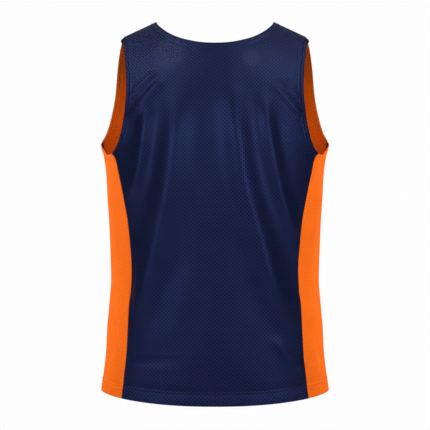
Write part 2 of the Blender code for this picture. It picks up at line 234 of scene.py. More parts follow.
FRONT_FOLDS = (
    # right half, from the middle outwards
    Fold((0.0580, -0.165), (0.0680, -0.280), (0.0920, -0.410), (0.1500, -0.580), 0.021, 0.0120),
    Fold((0.1120, -0.160), (0.1200, -0.240), (0.1340, -0.330), (0.1600, -0.430), 0.014, 0.0095),
    Fold((0.1180, -0.140), (0.1360, -0.160), (0.1550, -0.183), (0.1780, -0.212), 0.009, 0.0060),
    Fold((0.0200, -0.430), (0.0260, -0.480), (0.0330, -0.540), (0.0440, -0.620), 0.018, 0.0030),
    # left half
    Fold((-0.0360, -0.180), (-0.0470, -0.310), (-0.0800, -0.450), (-0.1520, -0.600), 0.022, 0.0125),
    Fold((-0.0950, -0.155), (-0.1050, -0.240), (-0.1240, -0.340), (-0.1600, -0.450), 0.015, 0.0100),
    Fold((-0.1280, -0.135), (-0.1440, -0.160), (-0.1600, -0.190), (-0.1820, -0.225), 0.010, 0.0055),
    Fold((-0.1000, -0.600), (-0.1240, -0.611), (-0.1460, -0.622), (-0.1700, -0.634), 0.012, -0.0045),
)

SIDE_FOLDS = (
    Fold((0.34, -0.262), (0.36, -0.320), (0.33, -0.392), (0.28, -0.470), 0.011, 0.0024),
    Fold((0.66, -0.250), (0.61, -0.345), (0.64, -0.440), (0.70, -0.560), 0.015, 0.0036),
    Fold((0.44, -0.480), (0.50, -0.530), (0.52, -0.585), (0.46, -0.640), 0.013, 0.0026),
    Fold((0.20, -0.600), (0.27, -0.626), (0.35, -0.648), (0.44, -0.664), 0.009, -0.0022),
    Fold((0.80, -0.590), (0.74, -0.615), (0.70, -0.640), (0.62, -0.662), 0.010, 0.0018),
)


# ---------------------------------------------------------------------------- curves
@dataclass(frozen=True)
class SmoothCurve:
    """A value read between a few places on a smooth curve that never overshoots."""

    places: tuple[float, ...]
    values: tuple[float, ...]

    def at(self, place: Array) -> Array:
        """Value at any place.

        Each cell is a cubic between its two ends.  The slope at an inner place is the
        harmonic mean of the rises on its two sides, or level where they differ in sign.

        Args:
            place: where to read the curve.

        Returns:
            The value there, held level beyond the two ends.
        """
        order = np.argsort(self.places)
        knots, values = np.array(self.places)[order], np.array(self.values)[order]
        steps = np.diff(knots)
        rises = np.diff(values) / steps
        slopes = np.concatenate(([rises[0]], np.zeros(len(rises) - 1), [rises[-1]]))
        same_way = rises[:-1] * rises[1:] > 0.0
        both = np.where(same_way, rises[:-1] + rises[1:], 1.0)
        slopes[1:-1] = np.where(same_way, 2.0 * rises[:-1] * rises[1:] / both, 0.0)
        place = np.asarray(place, dtype=float)
        cell = np.clip(np.searchsorted(knots, place) - 1, 0, len(steps) - 1)
        t = np.clip((place - knots[cell]) / steps[cell], 0.0, 1.0)
        start = (1.0 + 2.0 * t) * (1.0 - t) ** 2 * values[cell]
        end = t ** 2 * (3.0 - 2.0 * t) * values[cell + 1]
        bend = t * (1.0 - t) ** 2 * slopes[cell] - t ** 2 * (1.0 - t) * slopes[cell + 1]
        return start + end + bend * steps[cell]


def curve_of(rows: Sequence[NamedTuple], along: str, value: str) -> SmoothCurve:
    """Curve of one named column of a table against another one."""
    places, values = zip(*((getattr(row, along), getattr(row, value)) for row in rows))
    return SmoothCurve(places, values)


def soft_step(value: Array, start: float, end: float) -> Array:
    """0 before start, 1 after end, and a smooth cubic between them."""
    t = np.clip((np.asarray(value) - start) / (end - start), 0.0, 1.0)
    return t ** 2 * (3.0 - 2.0 * t)


def bell(value: Array, centre: float, spread: float) -> Array:
    """1 at the centre, dying away as exp(-(distance / spread) squared)."""
    return np.exp(-((value - centre) / spread) ** 2)


def graded_places(start: float, end: float, coarse: float,
                  fine: tuple[float, float], growth: float) -> Array:
    """Places along a run, closer together towards its two ends.

    The spacing is the least of the coarse one and, from either end, the fine one plus
    growth times the distance from that end.

    Args:
        start: first place.
        end: last place.
        coarse: spacing in the middle.
        fine: spacing at the start and at the end.
        growth: how fast the spacing grows away from an end.

    Returns:
        The places, the two ends among them.
    """
    fine_start, fine_end = fine
    dense = np.linspace(start, end, RUN_SAMPLES)
    spacing = np.minimum(fine_start + growth * (dense - start), fine_end + growth * (end - dense))
    density = 1.0 / np.minimum(spacing, coarse)
    between = (density[1:] + density[:-1]) / 2.0 * np.diff(dense)
    count = np.concatenate(([0.0], np.cumsum(between)))
    cells = max(1, math.ceil(count[-1]))
    return np.interp(np.linspace(0.0, count[-1], cells + 1), count, dense)


def with_fine_part(places: Array, start: float, end: float, spacing: float = 0.0008) -> Array:
    """Places whose stretch between two of them is set closer together.

    Args:
        places: places in rising order.
        start: where the fine stretch starts.
        end: where it ends.
        spacing: spacing inside it.

    Returns:
        The places outside the stretch, and even ones inside it.
    """
    fine = np.linspace(start, end, math.ceil((end - start) / spacing) + 1)
    before = places[places < start - spacing / 2.0]
    after = places[places > end + spacing / 2.0]
    return np.concatenate((before, fine, after))


def rows_from_hem(length: float, cell: float, fine: tuple[float, float]) -> Array:
    """Places of a grid's rows from the hem to the foot of the armhole.

    Args:
        length: length along the cloth that they stand for.
        cell: spacing in the middle.
        fine: spacing at the hem and at the armhole.

    Returns:
        Places from -1 at the hem to 0, closer together about the hem's stitching.
    """
    places = graded_places(-length, 0.0, cell, fine, ROW_GROWTH)
    start, end = HEM_LINE - FINE_BELOW - length, HEM_LINE + FINE_ABOVE - length
    return with_fine_part(places, start, end) / length


def unit(vectors: Array) -> Array:
    """Vectors scaled to a length of one."""
    return vectors / np.maximum(np.linalg.norm(vectors, axis=-1, keepdims=True), SMALLEST)


def distance_to_line(points: Array, line: Array, reach: float = 0.030) -> Array:
    """Distance from each point to the nearest place on a run of straight segments.

    Each point is dropped at right angles on every segment, held to the segment's ends,
    and the least of the distances is kept.

    Args:
        points: an array whose last axis is x, y, z.
        line: points of the run.
        reach: distances past this one are given as this one.

    Returns:
        The distances.
    """
    start, run = line[:-1], np.diff(line, axis=0)
    length_squared = np.maximum((run ** 2).sum(axis=1), SMALLEST)
    flat = points.reshape(-1, 3)
    nearest = np.full(len(flat), reach)
    inside = (flat > line.min(axis=0) - reach) & (flat < line.max(axis=0) + reach)
    close = np.flatnonzero(inside.all(axis=1))
    for block in np.array_split(close, 1 + len(close) // POINTS_AT_ONCE):
        offset = flat[block, None, :] - start
        share = np.clip(np.einsum("psk,sk->ps", offset, run) / length_squared, 0.0, 1.0)
        gap = offset - share[..., None] * run
        nearest[block] = np.sqrt(np.einsum("psk,psk->ps", gap, gap).min(axis=1))
    return np.minimum(nearest, reach).reshape(points.shape[:-1])


# ---------------------------------------------------------------------------- form
@dataclass(frozen=True)
class Body:
    """The filled-out form that all the pieces follow: a tube under sloping shoulders."""

    neck_half_width: float = 0.113
    tip_half_width: float = 0.1795
    shoulder_slope: float = 0.49
    shoulder_bend: float = 0.050
    tip_rounding: float = 0.004
    tip_rounding_width: float = 0.012
    ridge_radius: float = 0.009
    ridge_reach: float = 0.020
    oval_power: float = 2.2
    side_hem_height: float = -0.703
    hem_dip: float = 0.014
    rounding_power: float = 0.70
    back_rounding_height: float = 0.200
    front_rounding_height: float = 0.260
    edge_limit: float = 0.9995      # greatest share of the half width that an edge reaches

    def half_width(self, z: Array) -> Array:
        """Half width of the tube at height z."""
        return curve_of(BODY_SECTIONS, "height", "half_width").at(z)

    def shoulder_ridge(self, x: Array) -> Array:
        """Height of the line along the top of the shoulders.

        A hyperbola that slopes down both ways, with a small extra fall, as the square of
        the distance, at the very end.

        Args:
            x: distance from the middle, to the right.

        Returns:
            The height of the ridge there.
        """
        reach = math.hypot(self.neck_half_width, self.shoulder_bend)
        line = self.shoulder_slope * (reach - np.hypot(x, self.shoulder_bend))
        width = self.tip_rounding_width
        past = np.clip(np.abs(x) - (self.tip_half_width - width), 0.0, width)
        return line - self.tip_rounding * (past / width) ** 2

    def hem_height(self, angle: Array) -> Array:
        """Height of the hem, lowest at the middle of the back and of the front."""
        return self.side_hem_height - self.hem_dip * np.cos(angle) ** 2

    def plain_depth(self, side: Side, x: Array, z: Array) -> Array:
        """Depth of the back or the front, without folds.

        An oval section, times a rounding that rises from the shoulder ridge, joined to
        the round of the cloth right over the ridge as the root of a sum of squares.

        Args:
            side: the back or the front.
            x: distance from the middle, to the right.
            z: height.

        Returns:
            The distance out from the plane of the shoulders.
        """
        back = side is Side.BACK
        reach = np.clip(np.abs(x) / self.half_width(z), 0.0, 1.0)
        oval = (1.0 - reach ** self.oval_power) ** (1.0 / self.oval_power)
        depth = curve_of(BODY_SECTIONS, "height", "back_depth" if back else "front_depth")
        full = depth.at(z) * oval
        fall = np.clip(self.shoulder_ridge(x) - z, 0.0, None)
        height = self.back_rounding_height if back else self.front_rounding_height
        below = np.clip(fall / height, 0.0, 1.0)
        body = full * (1.0 - (1.0 - below) ** 2) ** self.rounding_power
        round_top = 2.0 * self.ridge_radius * fall * np.exp(-(fall / self.ridge_reach) ** 2)
        return np.sqrt(body ** 2 + round_top)

    def edge_angle(self, side: Side, z: Array) -> Array:
        """Angle round the oval, from a panel's middle, at which its side edge lies."""
        reach = curve_of(side.edge(), "height", "half_width").at(z) / self.half_width(z)
        return np.arcsin(np.clip(reach, 0.0, self.edge_limit) ** (self.oval_power / 2.0))

    def place_at(self, angle: Array, z: Array) -> Array:
        """x of a place at an angle round the oval at height z."""
        share = np.abs(np.sin(angle)) ** (2.0 / self.oval_power)
        return self.half_width(z) * np.sign(angle) * share

    def share_of_neck(self) -> float:
        """Where the neck meets the shoulder.

        Returns:
            Its angle round the oval, as a share of the angle at the panel's side edge.
        """
        power = self.oval_power / 2.0
        top = BODY_SECTIONS[0].half_width
        neck = math.asin((self.neck_half_width / top) ** power)
        return neck / math.asin((self.tip_half_width / top) ** power)


@dataclass(frozen=True)
class ClothMeasure:
    """Distances along the cloth of one panel, used to lay its knit on it.

    At each height the distance across is the length of the level section from the
    middle, and at each x the distance up is the length of the upright section.
    """

    body: Body
    side: Side
    reach: float = 0.2200           # half width that the samples cover
    samples: int = 240              # over that width, and twice as many up

    def tables(self) -> tuple[Array, Array, Array, Array]:
        """Measure the panel on an even grid of samples.

        Returns:
            The places x and z of the samples, and the distances across and up.
        """
        x = np.linspace(0.0, self.reach, self.samples)
        z = np.linspace(BODY_SECTIONS[-1].height, BODY_SECTIONS[0].height, 2 * self.samples)
        grid_x, grid_z = np.meshgrid(x, z)
        under = np.minimum(grid_z, self.body.shoulder_ridge(grid_x))
        depth = self.body.plain_depth(self.side, grid_x, under)
        across = np.hypot(np.diff(grid_x, axis=1), np.diff(depth, axis=1))
        upwards = np.hypot(np.diff(under, axis=0), np.diff(depth, axis=0))
        across = np.cumsum(np.pad(across, ((0, 0), (1, 0))), axis=1)
        upwards = np.cumsum(np.pad(upwards, ((1, 0), (0, 0))), axis=0)
        return x, z, across, upwards

    def lay(self, points: Array) -> Array:
        """Cloth coordinates of points on the panel, in metres.

        Args:
            points: an array whose last axis is x, y, z.

        Returns:
            An array whose last axis is the distance across and the distance up.
        """
        x, z, across, upwards = self.tables()
        column = np.clip(np.abs(points[..., 0]) / x[-1], 0.0, 1.0) * (len(x) - 1)
        row = np.clip((points[..., 2] - z[0]) / (z[-1] - z[0]), 0.0, 1.0) * (len(z) - 1)
        left = np.minimum(column.astype(int), len(x) - 2)
        low = np.minimum(row.astype(int), len(z) - 2)
        right_share, up_share = column - left, row - low

        def read(table: Array) -> Array:
            """The table between its four nearest samples."""
            below, above = (table[line, left] * (1 - right_share) + table[line, left + 1] * right_share
                            for line in (low, low + 1))
            return below * (1 - up_share) + above * up_share

        sideways = read(across) * np.sign(points[..., 0])
        return np.stack((sideways, read(upwards)), axis=-1)


# ---------------------------------------------------------------------------- cloth walls
@dataclass(frozen=True)
class ClothWall:
    """Thickness and place of one layer of cloth about the middle surface."""

    near_face: float = 0.00015      # face next to the other layer
    far_face: float = 0.00095       # face that shows
    rim: float = 0.00008            # thickness left at a rounded edge
    turned_lift: float = 0.00045    # extra height of the turned edge
    turned_round: float = 0.0013    # distance over which a free edge rounds off
    seam_round: float = 0.0011      # the same for a sewn edge
    seam_drop: float = 0.00045      # how far the face sinks at a sewn edge
    lift_before: float = 0.0008     # the turned edge starts to end this far before the stitches
    lift_after: float = 0.0022      # and has ended this far past them
    allowance: float = 0.0085       # width of the seam allowance under the cloth
    allowance_lift: float = 0.00025
    allowance_end: float = 0.002    # distance over which the allowance ends
    groove_depth: float = 0.00055   # where the stitches pull the cloth in
    groove_spread: float = 0.0011
    ridge_height: float = 0.00090   # loose cloth just past the stitches
    ridge_offset: float = 0.0030
    ridge_spread: float = 0.0018

    def face_height(self, free: Array, sewn: Array, band: Array, width: float) -> Array:
        """Height of the face that shows.

        Args:
            free: distance to the nearest turned edge.
            sewn: distance to the nearest seam.
            band: distance to the edge that has the stitched band.
            width: width of the stitched band.

        Returns:
            The height over the middle surface: the layer's own, more over the band and
            the seam allowance, less in the stitch line, at a seam and at a free edge.
        """
        turned = 1.0 - soft_step(band, width - self.lift_before, width + self.lift_after)
        groove = self.groove_depth * bell(band, width, self.groove_spread)
        ridge = self.ridge_height * bell(band, width + self.ridge_offset, self.ridge_spread)
        allowance = 1.0 - soft_step(sewn, self.allowance - self.allowance_end, self.allowance)
        sink = self.seam_drop * np.clip(1.0 - sewn / self.seam_round, 0.0, 1.0)
        height = self.far_face + self.turned_lift * turned - groove + ridge
        height = height + self.allowance_lift * allowance - sink
        rounding = np.sqrt(1.0 - (1.0 - np.clip(free / self.turned_round, 0.0, 1.0)) ** 2)
        low = self.near_face + self.rim
        return low + np.maximum(height - low, 0.0) * rounding


def mesh_of_wall(name: str, outer: Array, inner: Array, cloth: Array,
                 outward: float) -> bpy.types.Mesh:
    """Closed wall between two grids of points, with a rim round all four edges.

    Args:
        name: name of the mesh.
        outer: grid of points of the face that points along outward times the cross
            product of the column and the row directions.
        inner: grid of points of the other face.
        cloth: cloth coordinates of the grid, in metres.
        outward: 1.0, or -1.0 where the grid runs the other way round.

    Returns:
        The mesh, with its cloth coordinates as a UV map.
    """
    rows, columns = outer.shape[:2]
    index = np.arange(rows * columns).reshape(rows, columns)
    quads = np.stack((index[:-1, :-1], index[:-1, 1:], index[1:, 1:], index[1:, :-1]), axis=-1)
    front = quads.reshape(-1, 4)
    behind = front[:, ::-1] + rows * columns
    ring = np.concatenate((index[0, :-1], index[:-1, -1], index[-1, :0:-1], index[:0:-1, 0]))
    after = np.roll(ring, -1)
    rim = np.stack((after, ring, ring + rows * columns, after + rows * columns), axis=-1)
    faces = np.concatenate((front, behind, rim))
    if outward < 0.0:
        faces = faces[:, ::-1]
    mesh = bpy.data.meshes.new(name)
    mesh.vertices.add(2 * rows * columns)
    mesh.vertices.foreach_set("co", np.concatenate((outer, inner)).reshape(-1).astype(np.float32))
    mesh.loops.add(faces.size)
    mesh.loops.foreach_set("vertex_index", faces.reshape(-1).astype(np.int32))
    mesh.polygons.add(len(faces))
    mesh.polygons.foreach_set("loop_start", np.arange(0, faces.size, 4, dtype=np.int32))
    mesh.update(calc_edges=True)
    layer = mesh.uv_layers.new(name="cloth")
    both = np.concatenate((cloth.reshape(-1, 2), cloth.reshape(-1, 2)))
    layer.data.foreach_set("uv", both[faces.reshape(-1)].reshape(-1).astype(np.float32))
    mesh.validate()
    mesh.shade_smooth()
    return mesh


def add_piece(name: str, mesh: bpy.types.Mesh, material: bpy.types.Material) -> bpy.types.Object:
    """Put a finished mesh into the scene, riding on the one body.

    Args:
        name: name of the object.
        mesh: its mesh.
        material: its one material.

    Returns:
        The object, at the origin.
    """
    mesh.materials.append(material)
    piece = bpy.data.objects.new(name, mesh)
    bpy.context.scene.collection.objects.link(piece)
    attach(piece, "root")
    return piece


# ---------------------------------------------------------------------------- pieces
@dataclass(frozen=True)
class Panel:
    """The back or the front: its form, folds and grid."""

    side: Side
    neck_drop: float
    neck_roundness: float
    folds: tuple[Fold, ...]
    body: Body = field(default_factory=Body)
    seam_fall: float = 0.0035       # the shoulder seam lies this far down the front
    seam_gap: float = 0.0003
    seam_calm: float = 0.016        # no fold within this distance of an edge
    fold_taper: float = 0.25        # share of a fold over which each end dies away
    ridge_turn: float = 0.030       # share of the neck that turns over the ridge
    hem_draw: float = 0.0012        # how far the hem's stitching draws the cloth in
    hem_draw_offset: float = 0.004
    hem_draw_spread: float = 0.008
    hem_flare: float = 0.0010       # how far the cloth stands out at the very edge
    half_girth: float = 0.205       # across the cloth, what the columns of one half stand for
    cell: float = 0.0039
    fine_cell: float = 0.00035
    neck_cell: float = 0.00015      # at the ends of the neck
    inner_growth: float = 0.18      # how fast the columns spread out from there to the middle
    outer_growth: float = 0.15      # and towards the side edges

    def top_of_column(self, u: Array) -> Array:
        """Height of the shoulder ridge over a column."""
        level = np.zeros_like(u)
        return self.body.shoulder_ridge(self.across(u, level))

    def across(self, u: Array, z: Array) -> Array:
        """x at the share u of the panel's half width at height z."""
        return self.body.place_at(u * self.body.edge_angle(self.side, z), z)

    def neck_height(self, u: Array) -> Array:
        """Height of the neck edge: a power of one less the square of the share."""
        inside = np.clip(1.0 - (u / self.body.share_of_neck()) ** 2, 0.0, 1.0)
        return -self.neck_drop * inside ** self.neck_roundness

    def fall_of_seam(self, u: Array) -> Array:
        """Fall from the ridge to the panel's shoulder seam, on the front of the ridge.

        Args:
            u: share of the panel's half width.

        Returns:
            The fall, on the front with what leaves the gap between the two panels.
        """
        if self.side is Side.BACK:
            return np.full_like(u, self.seam_fall)
        top = self.top_of_column(u)
        x = self.across(u, top)
        upper = self.body.plain_depth(Side.FRONT, x, top - self.seam_fall)
        lower = self.body.plain_depth(Side.FRONT, x, top - self.seam_fall - STEP)
        return self.seam_fall + self.seam_gap / np.hypot(1.0, (lower - upper) / STEP)

    def last_root(self, u: Array) -> Array:
        """Signed root of the fall at the top edge of each column.

        It is below zero behind the ridge and above zero in front of it.  On the back
        the neck edge turns over the ridge in the last share of its width.

        Args:
            u: share of the panel's half width.

        Returns:
            The root, with its sign.
        """
        share = np.abs(u) / self.body.share_of_neck()
        fall = np.clip(self.top_of_column(u) - self.neck_height(u), 0.0, None)
        seam = np.sqrt(self.fall_of_seam(u))
        if self.side is Side.FRONT:
            return np.where(share < 1.0, np.sqrt(fall + seam ** 2), seam)
        turned = soft_step(share, 1.0 - self.ridge_turn, 1.0)
        return np.where(share < 1.0, seam * turned - np.sqrt(fall), seam)

    def fold_height(self, x: Array, z: Array) -> Array:
        """Height of the folds, each along a smooth curve through its four places.

        Args:
            x: distance from the middle, to the right.
            z: height.

        Returns:
            The sum of the folds' heights over the plain form.
        """
        total = np.zeros_like(x)
        for fold in self.folds:
            line = fold.line()
            slant = (line.at(z + STEP) - line.at(z - STEP)) / (2.0 * STEP)
            away = (x - line.at(z)) / np.hypot(1.0, slant)
            total += fold.height(away, z, self.fold_taper)
        return total

    def hem_height_over(self, above: Array) -> Array:
        """Height of the cloth near the hem: drawn in at the stitching, flared below it."""
        drawn_in = self.hem_draw * bell(above, HEM_LINE + self.hem_draw_offset, self.hem_draw_spread)
        return self.hem_flare * (1.0 - soft_step(above, 0.0, HEM_LINE)) - drawn_in

    def calm(self, u: Array, z: Array) -> Array:
        """Share of the folds that is left near the edges.

        Args:
            u: share of the panel's half width.
            z: height.

        Returns:
            1 over most of the panel, falling to 0 at its edges.
        """
        body = self.body
        edge = curve_of(self.side.edge(), "height", "half_width")
        inwards = (1.0 - np.abs(u)) * edge.at(z)
        inside_neck = np.abs(u) < body.share_of_neck()
        top = np.where(inside_neck, self.neck_height(u), self.top_of_column(u))
        above = z - body.hem_height(u * body.edge_angle(self.side, z))
        nearest = np.minimum(inwards, np.minimum(top - z, above))
        return soft_step(nearest, 0.0, self.seam_calm)

    def surface(self, u: Array, r: Array) -> Array:
        """Middle surface of the panel.

        Args:
            u: -1 at the left edge, 1 at the right edge.
            r: -1 at the hem, 0 at the foot of the armhole, 1 at the top edge.

        Returns:
            Points.  Under the armhole the height runs evenly; above it the signed root
            of the fall below the ridge does, so the columns pass smoothly over it.
        """
        body, corner = self.body, self.side.corner_height()
        foot = body.edge_angle(self.side, np.full_like(u, body.side_hem_height))
        lower = corner + (body.hem_height(u * foot) - corner) * np.clip(-r, 0.0, 1.0)
        top = self.top_of_column(u)
        first = self.side.value * np.sqrt(top - corner)
        root = first + (self.last_root(u) - first) * np.clip(r, 0.0, 1.0)
        z = np.where(r < 0.0, lower, top - root ** 2)
        x = self.across(u, z)
        over = (self.side is Side.BACK) & (r > 0.0) & (root > 0.0)
        above = np.abs(z - body.hem_height(u * body.edge_angle(self.side, z)))
        relief = self.fold_height(x, z) * self.calm(u, z) + self.hem_height_over(above)
        behind = self.side.value * (body.plain_depth(self.side, x, z) + relief)
        y = np.where(over, body.plain_depth(Side.FRONT, x, z), behind)
        return np.stack((x, y, z), axis=-1)

    def columns(self) -> Array:
        """Columns, closer together at the side edges and the ends of the neck.

        Returns:
            Their shares of the panel's half width, from -1 to 1.
        """
        half = self.half_girth
        neck = self.body.share_of_neck() * half
        inner_fine, outer_fine = (self.cell, self.neck_cell), (self.neck_cell, self.fine_cell)
        inner = graded_places(0.0, neck, self.cell, inner_fine, self.inner_growth)
        outer = graded_places(neck, half, self.cell, outer_fine, self.outer_growth)
        places = np.concatenate((inner, outer[1:])) / half
        return np.concatenate((-places[:0:-1], places))

    def rows(self) -> Array:
        """Rows, closer together at the hem and at the top.

        Returns:
            Their places, from -1 at the hem to 1 at the top edge.
        """
        body = self.body
        length = self.side.corner_height() - body.side_hem_height + body.hem_dip
        lower = rows_from_hem(length, self.cell, (self.fine_cell, self.cell))
        r = np.linspace(0.0, 1.0, COLUMN_SAMPLES)
        u = np.full_like(r, (1.0 + body.share_of_neck()) / 2.0)
        run = np.linalg.norm(np.diff(self.surface(u, r), axis=0), axis=-1)
        length_up = np.concatenate(([0.0], np.cumsum(run)))
        fine = (self.cell, self.fine_cell)
        upper = graded_places(0.0, length_up[-1], self.cell, fine, ROW_GROWTH)
        return np.concatenate((lower, np.interp(upper[1:], length_up, r)))


@dataclass(frozen=True)
class SideForm:
    """The right-hand side piece: its form and grid."""

    body: Body = field(default_factory=Body)
    cell: float = 0.0034
    fine_cell: float = 0.00035
    column_growth: float = 0.22     # how fast the columns spread out from a seam
    grid_width: float = 0.150       # across the cloth, what the columns stand for
    grid_length: float = 0.46       # along it, what the rows stand for
    top_width: float = 0.055        # across the cloth, at the armhole
    hem_width: float = 0.145
    seam_trim: float = 0.0010       # share of the width left free at each seam
    seam_calm: float = 0.018        # distance from a seam over which the folds die away
    fold_taper: float = 0.4         # share of a fold over which each end dies away
    half_width: float = 0.22        # of the oval that the folds stand out from
    half_depth: float = 0.14

    def fold_height(self, f: Array, r: Array, z: Array) -> Array:
        """Height of the soft folds.

        Args:
            f: share of the width from the back seam.
            r: -1 at the hem, 0 at the armhole.
            z: height.

        Returns:
            The sum of the folds' heights, which die away at the seams.
        """
        width = self.top_width + (self.hem_width - self.top_width) * -r
        total = np.zeros_like(z)
        for fold in SIDE_FOLDS:
            total += fold.height((f - fold.line().at(z)) * width, z, self.fold_taper)
        return total * soft_step(np.minimum(f, 1.0 - f) * width, 0.0, self.seam_calm)

    def seam_angle(self, side: Side, r: Array) -> Array:
        """Angle round the oval of the seam with a panel.

        Args:
            side: the back or the front.
            r: -1 at the hem, 0 at the armhole.

        Returns:
            The angle from the middle of the back.
        """
        corner = side.corner_height()
        hem = np.full_like(r, self.body.side_hem_height)
        foot = self.body.hem_height(self.body.edge_angle(side, hem))
        angle = self.body.edge_angle(side, corner + (foot - corner) * -r)
        return angle if side is Side.BACK else math.pi - angle

    def surface(self, f: Array, r: Array) -> Array:
        """Middle surface of the piece.

        Args:
            f: 0 at the back seam, 1 at the front seam.
            r: -1 at the hem, 0 at the armhole.

        Returns:
            Points round the oval, at angles between those of the two seams.
        """
        hem_row = np.full_like(r, -1.0)
        back_foot = self.seam_angle(Side.BACK, hem_row)
        front_foot = self.seam_angle(Side.FRONT, hem_row)
        hem = self.body.hem_height(back_foot + (front_foot - back_foot) * f)
        top = curve_of(SIDE_TOP_EDGE, "share", "height").at(f)
        z = top + (hem - top) * -r
        back, front = self.seam_angle(Side.BACK, r), self.seam_angle(Side.FRONT, r)
        angle = back + (front - back) * f
        x = self.body.place_at(angle, z)
        behind = -self.body.plain_depth(Side.BACK, x, z)
        ahead = self.body.plain_depth(Side.FRONT, x, z)
        y = np.where(np.cos(angle) > 0.0, behind, ahead)
        slope = (x / self.half_width ** 2, y / self.half_depth ** 2, np.zeros_like(z))
        outwards = unit(np.stack(slope, axis=-1))
        return np.stack((x, y, z), axis=-1) + outwards * self.fold_height(f, r, z)[..., None]

    def columns(self) -> Array:
        """Columns, closer together at the two seams.

        Returns:
            Their shares of the width from the back seam, short of both seams by the trim.
        """
        width, fine = self.grid_width, (self.fine_cell, self.fine_cell)
        shares = graded_places(0.0, width, self.cell, fine, self.column_growth) / width
        return self.seam_trim + shares * (1.0 - 2.0 * self.seam_trim)

    def rows(self) -> Array:
        """Places of the rows, closer together at the hem and at the armhole."""
        return rows_from_hem(self.grid_length, self.cell, (self.fine_cell, self.fine_cell))


def normals_of(surface: Callable[[Array, Array], Array], first: Array, second: Array,
               first_limits: tuple[float, float], second_limits: tuple[float, float]) -> Array:
    """Directions square to a surface, found by small steps each way along it.

    Args:
        surface: gives the surface's points at two shares.
        first: first share of each place.
        second: second share of each place.
        first_limits: least and greatest first share.
        second_limits: least and greatest second share.

    Returns:
        The unit cross products of the surface's two directions.
    """
    more = surface(np.clip(first + STEP, *first_limits), second)
    less = surface(np.clip(first - STEP, *first_limits), second)
    later = surface(first, np.clip(second + STEP, *second_limits))
    sooner = surface(first, np.clip(second - STEP, *second_limits))
    return unit(np.cross(more - less, later - sooner))


@dataclass(frozen=True)
class Lines:
    """The edges of a cut piece as runs of points."""

    turned: tuple[Array, ...]       # neck and armholes
    hem: tuple[Array, ...]
    sewn: tuple[Array, ...]

    def distances(self, points: Array) -> tuple[Array, Array, Array]:
        """Distances of points to the edges.

        Args:
            points: an array whose last axis is x, y, z.

        Returns:
            The distances to the turned edges, to the hem and to the seams.
        """
        turned, hem, sewn = (np.minimum.reduce([distance_to_line(points, line) for line in group])
                             for group in (self.turned, self.hem, self.sewn))
        return turned, hem, sewn


@dataclass(frozen=True)
class Topstitch:
    """A row of lockstitches that lies on the cloth, each one a short bent thread."""

    stitch: float = 0.0026
    gap: float = 0.0009
    radius: float = 0.00026
    sides: int = 6
    along: tuple[float, ...] = (0.0, 0.18, 0.5, 0.82, 1.0)      # rings of one stitch
    thickness: tuple[float, ...] = (0.35, 0.85, 1.0, 0.85, 0.35)
    lift: tuple[float, ...] = (-1.2, 0.2, 0.6, 0.2, -1.2)       # in radii over the cloth

    def inset(self, surface: Array, away: Array, distance: float) -> Array:
        """Points of a surface at one distance from its edge.

        Args:
            surface: grid whose first axis runs inwards from the edge.
            away: distances of its points to that edge.
            distance: how far in the row lies.

        Returns:
            One point for each column, between the two rows on either side of the place.
        """
        after = np.maximum(np.argmax(away >= distance, axis=0), 1)
        column = np.arange(away.shape[1])
        low, high = away[after - 1, column], away[after, column]
        share = np.clip((distance - low) / np.maximum(high - low, SLACK), 0.0, 1.0)[:, None]
        return surface[after - 1, column] * (1.0 - share) + surface[after, column] * share

    def thread(self, line: Array, out: Array) -> tuple[Array, Array]:
        """Points of the stitches along a line, and their cloth coordinates.

        Args:
            line: points of the row.
            out: directions out of the cloth at those points.

        Returns:
            Points and coordinates, by stitch, ring and side.
        """
        run = np.concatenate(([0.0], np.cumsum(np.linalg.norm(np.diff(line, axis=0), axis=1))))
        count = int(run[-1] / (self.stitch + self.gap))
        starts = (np.arange(count) + 0.5) * run[-1] / count - self.stitch / 2.0
        rings = np.array(self.along) * self.stitch
        places = starts[:, None] + rings

        def read(values: Array, at: Array) -> Array:
            """Values of the line's points at distances along it."""
            return np.stack([np.interp(at, run, values[:, axis]) for axis in range(3)], axis=-1)

        normal = unit(read(out, places))
        ahead = unit(read(line, places + self.radius) - read(line, places - self.radius))
        beside = np.cross(ahead, normal)
        middle = read(line, places) + normal * (np.array(self.lift) * self.radius)[:, None]
        turn = np.linspace(0.0, 2.0 * math.pi, self.sides + 1)[:-1]
        radius = (np.array(self.thickness) * self.radius)[None, :, None, None]
        upwards, sideways = np.cos(turn)[:, None], np.sin(turn)[:, None]
        spoke = normal[:, :, None] * upwards + beside[:, :, None] * sideways
        points = middle[:, :, None] + spoke * radius
        round_thread = np.broadcast_to(turn * self.radius, points.shape[:3])
        down_thread = np.broadcast_to(places[:, :, None], points.shape[:3])
        return points, np.stack((round_thread, down_thread), axis=-1)

    def mesh(self, name: str, rows: Sequence[tuple[Array, Array]]) -> bpy.types.Mesh:
        """One mesh of every stitch, each a bent tube closed at both ends.

        Args:
            name: name of the mesh.
            rows: points and outward directions of each row.

        Returns:
            The mesh, with the places round and along the thread as its UV map.
        """
        made = [self.thread(line, out) for line, out in rows]
        points = np.concatenate([points for points, _ in made])
        cloth = np.concatenate([cloth for _, cloth in made])
        index = np.arange(points[..., 0].size).reshape(points.shape[:3])
        beside = np.roll(index, -1, axis=2)
        quads = np.stack((index[:, :-1], beside[:, :-1], beside[:, 1:], index[:, 1:]), axis=-1)
        caps = np.concatenate((index[:, 0, ::-1], index[:, -1]))
        mesh = bpy.data.meshes.new(name)
        faces = quads.reshape(-1, 4).tolist() + caps.tolist()
        mesh.from_pydata(points.reshape(-1, 3).tolist(), [], faces)
        corner = np.empty(len(mesh.loops), dtype=np.int32)
        mesh.loops.foreach_get("vertex_index", corner)
        layer = mesh.uv_layers.new(name="cloth")
        layer.data.foreach_set("uv", cloth.reshape(-1, 2)[corner].ravel())
        mesh.shade_smooth()
        return mesh


